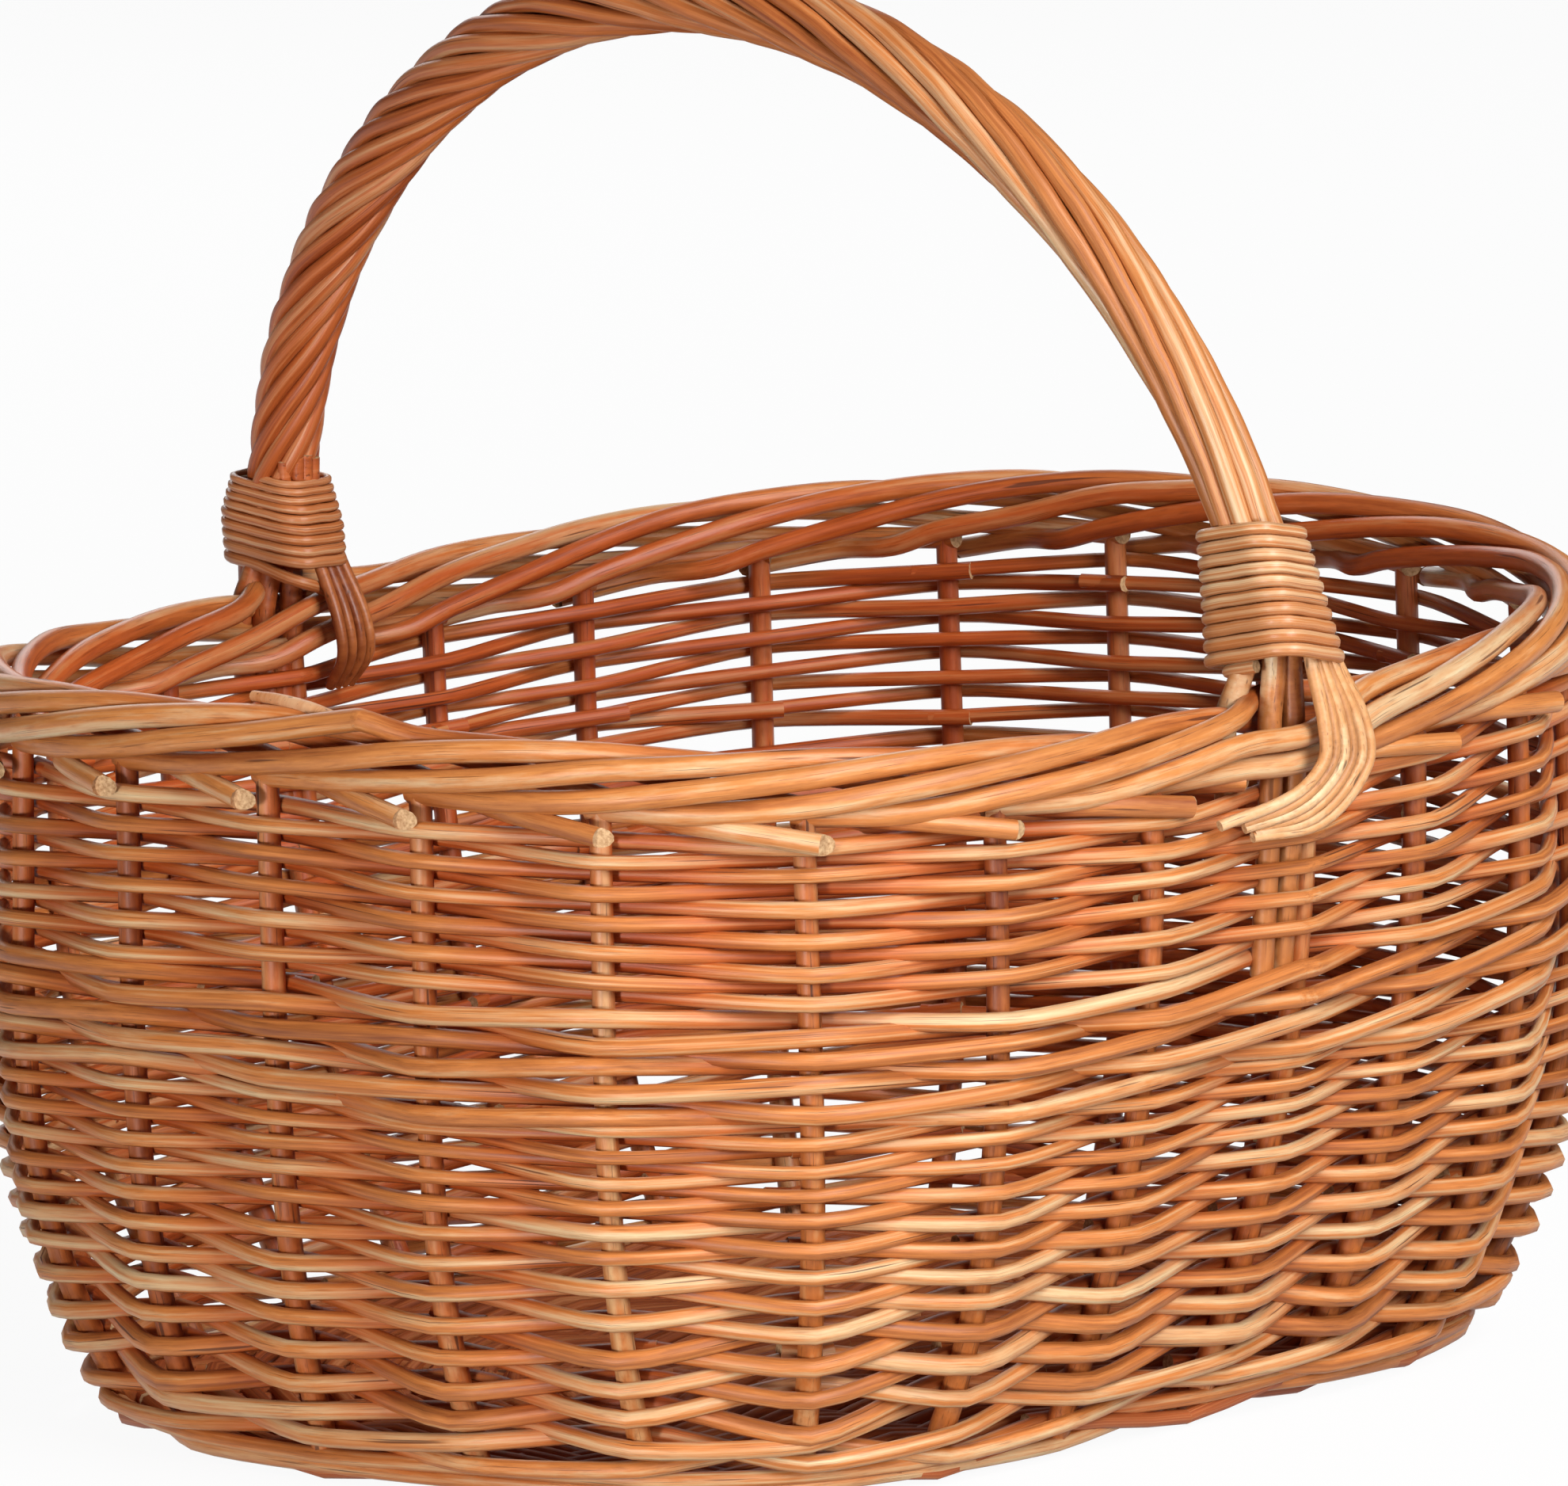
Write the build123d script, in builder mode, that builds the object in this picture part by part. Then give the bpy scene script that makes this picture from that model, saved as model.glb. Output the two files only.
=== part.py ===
# Oval willow basket with a fixed bow handle, stake and strand work.
# Millimetres, +Z up, origin on the table under the middle of the base.
# X runs along the basket, Y across it, and the handle springs from the two long sides.
from build123d import *
from math import asin, atan2, copysign, cos, hypot, pi, sin, sqrt
import os

os.makedirs("parts", exist_ok=True)

# Driving dimensions
rim_half_length = 209.0     # to the middle of the border
rim_half_width = 188.0
oval_power = 2.9            # 2 is an ellipse, more is squarer
rim_height = 206.0          # middle of the border above the table
rim_rise = 6.5              # the two ends stand this much above the mean height
rim_lift = 5.5              # one end stands higher than the other
flare_end = 17.0            # how far the wall leans out from base to rim at the ends
flare_side = 46.0           # and at the long sides
flare_corner = 3.0          # and this much more at the corners of the oval
curl_end = 4.3              # how early the ends turn upright
curl_side = 2.1
base_thickness = 12.0
stakes_per_half = 12        # stakes from one handle joint to the other
stake_radius = 3.8          # to the corners of a four-sided rod
spur_length = 18.0          # stake foot pushed into the base
weaver_radius = 2.2
row_pitch = 4.95            # height of one row of weaving
upsett_rows = 2
mid_wale_rows = 6
upper_rows = 9
border_rod_radius = 3.3
border_turn_radius = 7.8    # the border rods wind round the rim at this radius
border_spaces = 6           # stake spaces that a border rod takes to wind once round
bow_radius = 3.5
bow_depth = 0.36            # share of the wall height that the bow's legs go down
strand_radius = 3.2
strand_count = 6
strand_turns = 2.0
handle_height = 394.0       # middle of the handle above the table
handle_lean = 26.0          # the top of the handle stands this far off the middle
arch_power = 1.95
arch_spread = 3.3           # the arch springs this far outside the middle of the border
binding_radius = 1.9
binding_turns = 7
binding_gap = 0.5           # between neighbouring turns
clearance = 0.3             # between pieces that lie against each other

stake_count = 2 * stakes_per_half
joints = (0, stakes_per_half)
foot = base_thickness / 2
leg_gap = bow_radius + stake_radius + clearance
knots = (0.0, 0.07, 0.18, 0.36, 0.62, 1.0)
up = Vector(0, 0, 1)


# The plan of the rim: points at equal steps along the oval
def oval_point(angle):
    c, s = cos(angle), sin(angle)
    x = copysign(rim_half_length * abs(c) ** (2 / oval_power), c)
    y = copysign(rim_half_width * abs(s) ** (2 / oval_power), s)
    return x, y


def measured_oval(steps=2880):
    """the oval from the near handle joint round, with the length run so far"""
    run = [(0.0, *oval_point(-pi / 2))]
    for k in range(1, steps + 1):
        x, y = oval_point(-pi / 2 + 2 * pi * k / steps)
        length = run[-1][0] + hypot(x - run[-1][1], y - run[-1][2])
        run.append((length, x, y))
    return run


oval_run = measured_oval()
spacing = oval_run[-1][0] / stake_count


def rim_at(station):
    """rim point and outward direction, a station being one stake space"""
    want = (station % stake_count) * spacing
    low, high = 0, len(oval_run) - 1
    while high - low > 1:
        mid = (low + high) // 2
        low, high = (mid, high) if oval_run[mid][0] <= want else (low, mid)
    (l0, x0, y0), (l1, x1, y1) = oval_run[low], oval_run[high]
    share = (want - l0) / (l1 - l0)
    x, y = x0 + (x1 - x0) * share, y0 + (y1 - y0) * share
    nx = copysign((abs(x) / rim_half_length) ** (oval_power - 1) / rim_half_length, x)
    ny = copysign((abs(y) / rim_half_width) ** (oval_power - 1) / rim_half_width, y)
    return Vector(x, y, 0), Vector(nx, ny, 0).normalized()


def bearing(point):
    return atan2(point.Y / rim_half_width, point.X / rim_half_length)


def rim_centre(station):
    point, out = rim_at(station)
    turn = bearing(point)
    height = rim_height + rim_rise * cos(2 * turn) + rim_lift * cos(turn)
    return point + up * height, out


# The wall: it flares from the base oval and stands upright at the rim
def wall(station, share):
    top, out = rim_centre(station)
    turn = bearing(top)
    flare = flare_end * cos(turn) ** 2 + flare_side * sin(turn) ** 2 + flare_corner * sin(2 * turn) ** 2
    curl = curl_end * cos(turn) ** 2 + curl_side * sin(turn) ** 2
    point = top - out * flare * (1 - share) ** curl
    return Vector(point.X, point.Y, foot + (top.Z - foot) * share)


def on_stake(station, share):
    """point on a stake's line and the wall's outward direction there"""
    k = max(j for j in range(len(knots) - 1) if knots[j] <= share)
    low, high = wall(station, knots[k]), wall(station, knots[k + 1])
    out = rim_at(station)[1]
    rise = (high - low).normalized()
    facing = out * rise.Z - up * rise.dot(out)
    return low + (high - low) * ((share - knots[k]) / (knots[k + 1] - knots[k])), facing


def stake_station(i):
    """the stakes at the handle stand beside the bow's leg"""
    return i + leg_gap / spacing if i % stake_count in joints else i


def bent_only(route):
    """a route without the points where it hardly bends, which no mitre can be cut for"""
    kept = [route[0]]
    for point, after in zip(route[1:], route[2:]):
        if (point - kept[-1]).get_angle(after - point) > 1.5:
            kept.append(point)
    return kept + [route[-1]]


def rod(route, radius, sides, side_dir):
    """one rod of polygon section along a route of points, mitred at its bends"""
    points = bent_only(route)
    with BuildPart() as piece:
        with BuildLine():
            Polyline(*points)
        with BuildSketch(Plane(points[0], x_dir=side_dir, z_dir=points[1] - points[0])):
            RegularPolygon(radius, sides)
        sweep(transition=Transition.RIGHT)
    return piece.part


def save(shape, name):
    shape.label = name
    export_step(shape, f"parts/{name}.step")
    print(name, "solids", len(shape.solids()), "faces", len(shape.faces()), "valid", shape.is_valid)


# Stakes: from a foot inside the base up the wall to the underside of the border
stake_head = border_turn_radius + border_rod_radius * 0.95 + clearance


def stake_route(i):
    station = stake_station(i)
    top, out = rim_centre(station)
    head = 1 - stake_head / (top.Z - foot)
    bend = wall(station, 0)
    return [bend - out * spur_length] + [wall(station, k) for k in knots[:-1]] + [on_stake(station, head)[0]]


for i in range(stake_count):
    out = rim_at(stake_station(i))[1]
    save(rod(stake_route(i), stake_radius, 4, out.cross(up) + up), f"stake_{i + 1:02d}")

# Rows of weaving: one rod a row, its two ends left behind a stake
post_radius = max(stake_radius, bow_radius)
post_flat = post_radius * cos(pi / 4)
row_ease = 1.5 * clearance
row_offset = post_flat + weaver_radius + clearance


def randing(i, row):
    return 1 if (i + row) % 2 else -1


def waling(i, row):
    return -1 if (i + row) % 3 == 0 else 1


def outside_all(i, row):
    return 1


def row_point(stop, share, offset):
    station, side = stop
    point, facing = on_stake(station, share)
    return point + facing * side * offset


def bend_offset(stop, before, point, after):
    """how far a rod's middle stands off the four-sided stake or bow leg that it bends round"""
    station, side = stop
    out = rim_at(station)[1] * side
    along = up.cross(rim_at(station)[1])
    coming, going = point - before, after - point
    slope = max(coming.dot(out) / coming.dot(along), -going.dot(out) / going.dot(along), 0)
    return post_flat * (1 + slope) + weaver_radius * hypot(1, slope) + row_ease


def woven_row(height, row, pattern):
    share = (height - foot) / (rim_height - foot)
    first = (7 * row) % stake_count
    while pattern(first, row) > 0 and pattern is not outside_all:
        first += 1
    stops = [(first - 1, pattern(first - 1, row))]
    for i in range(first, first + stake_count):
        if i % stake_count in joints and share > 1 - bow_depth:
            stops.append((i, pattern(i, row)))
        stops.append((stake_station(i), pattern(i, row)))
    stops.append((first + stake_count, pattern(first + stake_count, row)))
    rough = [row_point(stop, share, row_offset) for stop in stops]
    route = []
    for k in range(1, len(stops) - 1):
        route.append(row_point(stops[k], share, bend_offset(stops[k], *rough[k - 1:k + 2])))
    route.insert(0, route[0] + (rough[0] - route[0]) * 0.12)
    route.append(route[-1] + (rough[-1] - route[-1]) * 0.7)
    return rod(route, weaver_radius, 4, up)


top_row = rim_height - stake_head - border_rod_radius - 2 * weaver_radius
row_total = int((top_row - base_thickness - 2 * weaver_radius) / row_pitch)
first_row = top_row - row_total * row_pitch
bands = [("upsett_wale", waling, upsett_rows),
         ("lower_randing", randing, row_total + 1 - upsett_rows - mid_wale_rows - upper_rows),
         ("mid_wale", waling, mid_wale_rows),
         ("upper_randing", randing, upper_rows)]
row = 0
for name, pattern, rows in bands:
    pieces = []
    for step in range(rows):
        pieces.append(woven_row(first_row + row * row_pitch, row, pattern))
        row += 1
    save(Compound(children=pieces), name)

# Foot rod: goes round outside the bends of the stakes
save(woven_row(foot, 0, outside_all), "foot_rod")


# Border: each rod starts on its stake and winds once round the rim over several spaces
def border_point(station, offset):
    centre, out = rim_centre(station)
    return centre + out * offset[0] + up * offset[1]


# the rod on top of the rim goes round the outside of the bow's legs, then over the rods beside it
beside_bow = (bow_radius + border_rod_radius + arch_spread / 2 + clearance, 1.45 * border_turn_radius)
over_rim = (0.25 * border_turn_radius, 1.65 * border_turn_radius)
behind_rim = (-0.9 * border_turn_radius, 1.1 * border_turn_radius)


def border_route(i):
    lead = 0.03 if i in joints else 0.06
    route = [border_point(stake_station(i) - lead, (-0.12 * border_turn_radius, -border_turn_radius))]
    for step in range(border_spaces):
        turn = 2 * pi * step / border_spaces - pi / 2
        offset = (border_turn_radius * cos(turn), border_turn_radius * sin(turn))
        if 2 * step == border_spaces and (i + step) % stake_count in joints:
            route.append(border_point(i + step, beside_bow))
            route.append(border_point(i + step + 0.3, over_rim))
            route.append(border_point(i + step + 0.6, behind_rim))
        else:
            route.append(border_point(i + step if step else stake_station(i), offset))
    last = i + border_spaces
    route.append(border_point(last - 0.6, (-border_turn_radius, -1.4 * border_turn_radius)))
    route.append(border_point(last - 0.25, (0.2 * border_turn_radius, -1.55 * border_turn_radius)))
    if last % stake_count not in joints:
        route.append(border_point(last + 0.02, (1.7 * border_turn_radius, -1.9 * border_turn_radius)))
    return route


quarter = stake_count // 4
for q in range(4):
    first = q * quarter
    last = stake_count if q == 3 else first + quarter
    pieces = [rod(border_route(i), border_rod_radius, 5, rim_at(i)[1]) for i in range(first, last)]
    save(Compound(children=pieces), f"border_quarter_{q + 1}")

# Handle line: a leaning arch from joint to joint, straight through the bindings
binding_pitch = 2 * binding_radius + binding_gap
joint_height = rim_centre(0)[0].Z
leg_foot = 2.8 * border_turn_radius
leg_head = leg_foot + binding_pitch * (binding_turns + 2)


def arch(share):
    """point on the handle's middle line, from the far joint over to the near one"""
    turn = pi * share
    half_width = rim_half_width + arch_spread
    y = copysign(half_width * abs(cos(turn)) ** (2 / arch_power), cos(turn))
    rise = abs(sin(turn)) ** (2 / arch_power)
    return Vector(-handle_lean * rise, y, joint_height + (handle_height - joint_height) * rise)


def arch_share(height):
    """where the arch is this far above its joints, on its way up"""
    rise = height / (handle_height - joint_height)
    return asin(rise ** (arch_power / 2)) / pi


arch_steps = 16
foot_share, head_share = arch_share(leg_foot), arch_share(leg_head)
arch_turns = [head_share + (1 - 2 * head_share) * k / arch_steps for k in range(1, arch_steps)]


def leg_frame(station):
    """the straight stretch of the handle in a binding: its foot, its head and its upward direction"""
    foot_end, head_end = arch(foot_share), arch(head_share)
    if station == 0:
        foot_end, head_end = arch(1 - foot_share), arch(1 - head_share)
    return foot_end, head_end, (head_end - foot_end).normalized()


def arch_frame(share):
    """outward and sideways directions across the handle"""
    along = (arch(min(share + 0.01, 1)) - arch(max(share - 0.01, 0))).normalized()
    side = Vector(1, 0, 0)
    side = (side - along * side.dot(along)).normalized()
    return along.cross(side), side


# Bow: its legs go down the wall beside the stakes at the joints
def bow_leg(station):
    low = [on_stake(station, share)[0] for share in (1 - bow_depth, 1.0)]
    return low + list(leg_frame(station)[:2])


bow_route = bow_leg(stakes_per_half) + [arch(s) for s in arch_turns] + bow_leg(0)[::-1]
save(rod(bow_route, bow_radius, 4, Vector(1, 1, 0)), "handle_bow")

# Strands: twisted round the bow and laid straight under the bindings
# At each joint those on one side go on as a tail, over the border and in under it
ring_radius = bow_radius + strand_radius + 2 * clearance
tail_side = {0: 1, stakes_per_half: -1}
tail_out = beside_bow[0] + border_rod_radius + strand_radius + 2 * clearance
tail_in = row_offset + weaver_radius + strand_radius + 4 * clearance
tail_step = 2 * strand_radius + clearance


def strand_places(station, turn):
    """a strand's places at the foot and head of a binding"""
    foot_end, head_end, rise = leg_frame(station)
    side = (Vector(1, 0, 0) - rise * rise.X).normalized()
    out = rise.cross(side) if station else side.cross(rise)
    offset = out * ring_radius * cos(turn) + side * ring_radius * sin(turn)
    return [foot_end + offset, head_end + offset]


def tail_place(turn):
    """side to side place of a strand among those on its own side of the border"""
    turns = [turn + 2 * pi * k / strand_count for k in range(strand_count)]
    group = sorted(sin(t) for t in turns if (cos(t) > 0) == (cos(turn) > 0))
    return (group.index(sin(turn)) - (len(group) - 1) / 2) * tail_step


def strand_tail(station, turn):
    """from under the binding over the border, inside or outside, to below it"""
    base, out = rim_at(station)
    places = strand_places(station, turn)
    if (cos(turn) > 0) != (tail_side[station] > 0):
        return places
    way = out * tail_side[station]
    line = base + Vector(leg_frame(station)[0].X + tail_place(turn), 0, joint_height)
    return [line + way * tail_in - up * 2.6 * border_turn_radius,
            line + way * tail_out - up * 0.9 * border_turn_radius,
            line + way * tail_out + up * 2.0 * border_turn_radius] + places


def strand_route(k):
    start = 2 * pi * k / strand_count
    route = strand_tail(stakes_per_half, start)
    for share in arch_turns:
        out, side = arch_frame(share)
        turn = start - 2 * pi * strand_turns * (share - head_share) / (1 - 2 * head_share)
        route.append(arch(share) + out * ring_radius * cos(turn) + side * ring_radius * sin(turn))
    return route + strand_tail(0, start - 2 * pi * strand_turns)[::-1]


for k in range(strand_count):
    save(rod(strand_route(k), strand_radius, 5, Vector(1, 0, 0)), f"handle_strand_{k + 1}")

# Bindings: one unbroken coil round each end of the handle, of three-sided section for few faces
coil_radius = ring_radius + strand_radius + binding_radius + 2 * clearance
binding_depth = 1.7 * binding_radius


def coil_point(axis, turn):
    return axis.from_local_coords(
        Vector(coil_radius * cos(turn), coil_radius * sin(turn), binding_pitch * turn / (2 * pi)))


def coil_way(axis, turn):
    ahead = axis.from_local_coords(
        Vector(-coil_radius * sin(turn), coil_radius * cos(turn), binding_pitch / (2 * pi)))
    return (ahead - axis.origin).normalized()


def least_gap(line):
    """the least gap between turns of a coil, measured on points along it"""
    per_turn = 72
    count = per_turn * binding_turns
    points = [line @ (k / count) for k in range(count + 1)]
    nearest = coil_radius
    for k, point in enumerate(points):
        for other in points[k + per_turn // 2:k + 2 * per_turn]:
            nearest = min(nearest, (other - point).length)
    return nearest - 2 * binding_radius


def binding(station):
    foot_end, head_end, rise = leg_frame(station)
    axis = Plane(foot_end + rise * binding_pitch, x_dir=Vector(1, 0, 0).cross(rise), z_dir=rise)
    halves = 2 * binding_turns
    with BuildPart() as coil:
        with BuildLine() as path:
            start = coil_point(axis, 0)
            Line(start - coil_way(axis, 0) * 2 * binding_radius, start)
            for h in range(halves):
                a, b = h * pi, (h + 1) * pi
                p1, p2 = coil_point(axis, a), coil_point(axis, b)
                t1, t2 = coil_way(axis, a), coil_way(axis, b)
                v, t = p2 - p1, t1 + t2
                k = 2 * (1 - t1.dot(t2))
                d = (-v.dot(t) + sqrt(v.dot(t) ** 2 + k * v.dot(v))) / k
                middle = (p1 + t1 * d + p2 - t2 * d) / 2
                TangentArc(p1, middle, tangent=t1)
                TangentArc(middle, p2, tangent=(p2 - t2 * d - p1 - t1 * d).normalized())
            finish = coil_point(axis, halves * pi)
            Line(finish, finish + coil_way(axis, 0) * 2 * binding_radius)
        with BuildSketch(Plane(path.line @ 0, x_dir=rise, z_dir=path.line % 0)):
            Polygon((-binding_radius, -binding_depth / 2), (binding_radius, -binding_depth / 2),
                    (0, binding_depth / 2), align=None)
        sweep()
    print("binding: least gap between turns", round(least_gap(path.line), 2), "mm")
    return coil.part


save(Compound(children=[binding(station) for station in joints]), "handle_bindings")

# Base: long sticks threaded through slits in the short ones, woven round to the edge
long_stick_radius = 3.2
short_stick_radius = 5.0
long_sticks = 3
short_sticks = 7
stick_step = 2 * long_stick_radius + clearance
base_half_length = rim_half_length - flare_end - stake_radius - clearance
base_half_width = rim_half_width - flare_side - stake_radius - clearance
stick_reach = spur_length + 6
bundle_half = long_sticks * stick_step / 2
short_step = 2 * (base_half_length - stick_reach) * 0.62 / (short_sticks - 1)


def base_outline(inset):
    """the base oval follows the feet of the stakes"""
    points = []
    for i in range(stake_count):
        point = wall(i + 0.5, 0) - rim_at(i + 0.5)[1] * inset
        points.append((point.X, point.Y))
    return points


def stick_places(count, step):
    return [(k - (count - 1) / 2) * step for k in range(count)]


with BuildPart() as base_long_sticks:
    with BuildSketch(Plane.YZ.offset(-(base_half_length - stick_reach))):
        with Locations(*[(y, foot) for y in stick_places(long_sticks, stick_step)]):
            RegularPolygon(long_stick_radius, 6)
    extrude(amount=2 * (base_half_length - stick_reach))
save(base_long_sticks.part, "base_long_sticks")

with BuildPart() as base_short_sticks:
    with BuildSketch(Plane.XZ.offset(-(base_half_width - stick_reach))):
        with Locations(*[(x, foot) for x in stick_places(short_sticks, short_step)]):
            RegularPolygon(short_stick_radius, 6, rotation=30)
    extrude(amount=2 * (base_half_width - stick_reach))
    with BuildSketch(Plane.YZ.offset(-base_half_length)):
        with Locations((0, foot)):
            Rectangle(2 * bundle_half + clearance, 2 * long_stick_radius)
    extrude(amount=2 * base_half_length, mode=Mode.SUBTRACT)
save(base_short_sticks.part, "base_short_sticks")

slath_half_length = short_step * (short_sticks - 1) / 2 + 2 * short_stick_radius
with BuildPart() as base_weave:
    with BuildSketch():
        with BuildLine():
            Polyline(*base_outline(stake_radius + clearance), close=True)
        make_face()
        Rectangle(2 * slath_half_length, 4 * bundle_half, mode=Mode.SUBTRACT)
    extrude(amount=base_thickness)
    with BuildSketch(Plane.YZ.offset(-(base_half_length - stick_reach) - clearance)):
        with Locations(*[(y, foot) for y in stick_places(long_sticks, stick_step)]):
            RegularPolygon(long_stick_radius + clearance, 6)
    extrude(amount=2 * (base_half_length - stick_reach + clearance), mode=Mode.SUBTRACT)
    with BuildSketch(Plane.XZ.offset(-(base_half_width - stick_reach) - clearance)):
        with Locations(*[(x, foot) for x in stick_places(short_sticks, short_step)]):
            RegularPolygon(short_stick_radius + clearance, 6, rotation=30)
    extrude(amount=2 * (base_half_width - stick_reach + clearance), mode=Mode.SUBTRACT)
    for i in range(stake_count):
        inner, bend = stake_route(i)[:2]
        with BuildSketch(Plane(inner, x_dir=(bend - inner).cross(up), z_dir=bend - inner)):
            RegularPolygon(stake_radius + clearance, 4, rotation=45)
        extrude(amount=spur_length, mode=Mode.SUBTRACT)
save(base_weave.part, "base_weave")
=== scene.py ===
# Oval willow basket with a roped bow handle: every rod of the weave, border, handle and base.
# Metres, +Z up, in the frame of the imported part.
import bisect
import math
import random

import bpy
from mathutils import Matrix, Vector


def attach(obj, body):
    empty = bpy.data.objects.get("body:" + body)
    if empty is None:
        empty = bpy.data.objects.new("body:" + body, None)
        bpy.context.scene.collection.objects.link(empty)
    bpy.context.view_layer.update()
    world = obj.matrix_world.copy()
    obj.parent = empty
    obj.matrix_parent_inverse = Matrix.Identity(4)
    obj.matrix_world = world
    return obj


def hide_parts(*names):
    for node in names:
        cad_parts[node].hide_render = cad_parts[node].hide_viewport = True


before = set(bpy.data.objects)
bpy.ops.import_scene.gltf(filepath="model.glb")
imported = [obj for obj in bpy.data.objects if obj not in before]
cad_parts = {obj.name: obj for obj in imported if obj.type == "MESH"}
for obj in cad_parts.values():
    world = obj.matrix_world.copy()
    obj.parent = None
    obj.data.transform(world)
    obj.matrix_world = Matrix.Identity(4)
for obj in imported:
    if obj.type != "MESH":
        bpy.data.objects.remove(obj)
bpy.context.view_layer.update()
bpy.ops.object.select_all(action="DESELECT")
random.seed(24)

mm = 0.001
tau = 2 * math.pi
up = Vector((0, 0, 1))

# Sizes shared with the CAD source
rim_half_length = 209 * mm
rim_half_width = 188 * mm
oval_power = 2.9
rim_height = 206 * mm
rim_rise = 6.5 * mm
rim_lift = 5.5 * mm
flare_end = 17 * mm
flare_side = 46 * mm
flare_corner = 3 * mm
curl_end = 4.3
curl_side = 2.1
base_thickness = 12 * mm
stakes_per_half = 12
stake_radius = 3.4 * mm
spur_length = 18 * mm
border_turn_radius = 7.8 * mm
border_spaces = 6           # stake spaces that a border rod takes to wind once round
bow_radius = 3.5 * mm
handle_height = 394 * mm
handle_lean = 26 * mm
arch_power = 1.95
arch_spread = 3.3 * mm      # the arch springs this far outside the middle of the border
clearance = 0.3 * mm        # between pieces that lie against each other

stake_count = 2 * stakes_per_half
joints = (0, stakes_per_half)
far_joint, near_joint = stakes_per_half, 0
foot = base_thickness / 2

# Sizes of this scene alone
belly = 6 * mm              # how far the lower wall swells at the corners
leg_depth = 0.66            # share of the rim's height that the handle's legs reach down to
short_leg_depth = 0.84
legs_from = 0.62 * rim_height   # rows above this height pass the handle's legs too

# The camera, and the directions towards it and to the right of its picture
camera_azimuth = math.radians(-47.65)
camera_elevation = math.radians(8.95)
camera_roll = math.radians(-1.48)
camera_distance = 5.313
camera_target_side = 0.54 * mm
camera_target_height = 179.6 * mm
camera_lens = 433.5
towards_camera = Vector((math.sin(camera_azimuth), -math.cos(camera_azimuth), 0))
picture_right = Vector((math.cos(camera_azimuth), math.sin(camera_azimuth), 0))


def clamped(value):
    return min(max(value, 0), 1)


# The plan of the rim: an oval measured along its length
def oval_point(angle):
    c, s = math.cos(angle), math.sin(angle)
    x = math.copysign(rim_half_length * abs(c) ** (2 / oval_power), c)
    y = math.copysign(rim_half_width * abs(s) ** (2 / oval_power), s)
    return Vector((x, y, 0))


oval_steps = 1440
oval_points = [oval_point(tau * k / oval_steps - tau / 4) for k in range(oval_steps + 1)]
oval_lengths = [0.0]
for start, end in zip(oval_points, oval_points[1:]):
    oval_lengths.append(oval_lengths[-1] + (end - start).length)
spacing = oval_lengths[-1] / stake_count


def rim_at(station):
    """rim point and outward direction, a station being one stake space"""
    want = (station % stake_count) * spacing
    k = min(max(bisect.bisect(oval_lengths, want), 1), oval_steps)
    share = (want - oval_lengths[k - 1]) / (oval_lengths[k] - oval_lengths[k - 1])
    point = oval_points[k - 1].lerp(oval_points[k], share)
    nx = math.copysign((abs(point.x) / rim_half_length) ** (oval_power - 1) / rim_half_length, point.x)
    ny = math.copysign((abs(point.y) / rim_half_width) ** (oval_power - 1) / rim_half_width, point.y)
    return point, Vector((nx, ny, 0)).normalized()


def bearing(point):
    return math.atan2(point.y / rim_half_width, point.x / rim_half_length)


def rim_centre(station):
    point, out = rim_at(station)
    turn = bearing(point)
    return point + up * (rim_height + rim_rise * math.cos(2 * turn) + rim_lift * math.cos(turn)), out


def swell_at(share):
    """how much of the belly the wall has at a share of its height, all of it a third of the way up"""
    share = clamped(share)
    return 27 / 4 * share * (1 - share) ** 2


def wall(station, share):
    """middle of the wall, from the foot of the stakes at share 0 to the rim at share 1"""
    top, out = rim_centre(station)
    turn = bearing(top)
    flare = flare_end * math.cos(turn) ** 2 + flare_side * math.sin(turn) ** 2
    flare += flare_corner * math.sin(2 * turn) ** 2
    curl = curl_end * math.cos(turn) ** 2 + curl_side * math.sin(turn) ** 2
    point = top - out * flare * max(1 - share, 0) ** curl
    point += out * belly * swell_at(share) * math.sin(2 * turn) ** 2
    point.z = foot + (top.z - foot) * share
    return point


def facing(station, share):
    """outward direction square to the wall"""
    out = rim_at(station)[1]
    rise = (wall(station, share + 0.02) - wall(station, share - 0.02)).normalized()
    return (out * rise.z - up * rise.dot(out)).normalized()


def share_of(height):
    return (height - foot) / (rim_height - foot)


def stake_station(i):
    """the stakes at the handle stand beside the handle's leg"""
    if i % stake_count in joints:
        return i + (bow_radius + stake_radius + clearance) / spacing
    return i


def at_joint(station, along, out, height):
    """a place near a handle joint, by its distances from the middle of the rim"""
    centre, outward = rim_centre(station)
    return centre + up.cross(outward) * along + outward * out + up * height


def out_of_wall(point):
    """how far a place lies outside the middle of the wall"""
    share = clamped(share_of(point.z))
    drop = 1 - share
    across = abs(point.x) / (rim_half_length - flare_end * drop ** curl_end)
    along = abs(point.y) / (rim_half_width - flare_side * drop ** curl_side)
    oval = (across ** oval_power + along ** oval_power) ** (1 / oval_power)
    swell = belly * swell_at(share) - flare_corner * drop ** 3
    return (oval - 1) * math.hypot(point.x, point.y) - swell * math.sin(2 * bearing(point)) ** 2


# Painted shade: 0 where a rod stands out in the open and is left pale, 1 where it lies deep in and is
# painted darker and redder
# painted shade on the weave: more on the inner side of the wall, less on the outer side
def wall_painted_shade(point):
    return clamped(0.72 - out_of_wall(point) / (9 * mm))


# painted shade on the border: more on its inner side, less on its outer side
def border_painted_shade(point):
    return clamped(0.42 - out_of_wall(point) / (15 * mm))


def handle_painted_shade(point):
    """painted shade: the far half of the handle is painted the darker one"""
    return 0.85 * clamped(0.5 + point.y / (2 * rim_half_width))


# painted shade on the bindings, less of it than on the handle
def binding_painted_shade(point):
    return 0.4 * handle_painted_shade(point)


# painted shade, the same all over the base
def base_painted_shade(point):
    return 0.6


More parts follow.
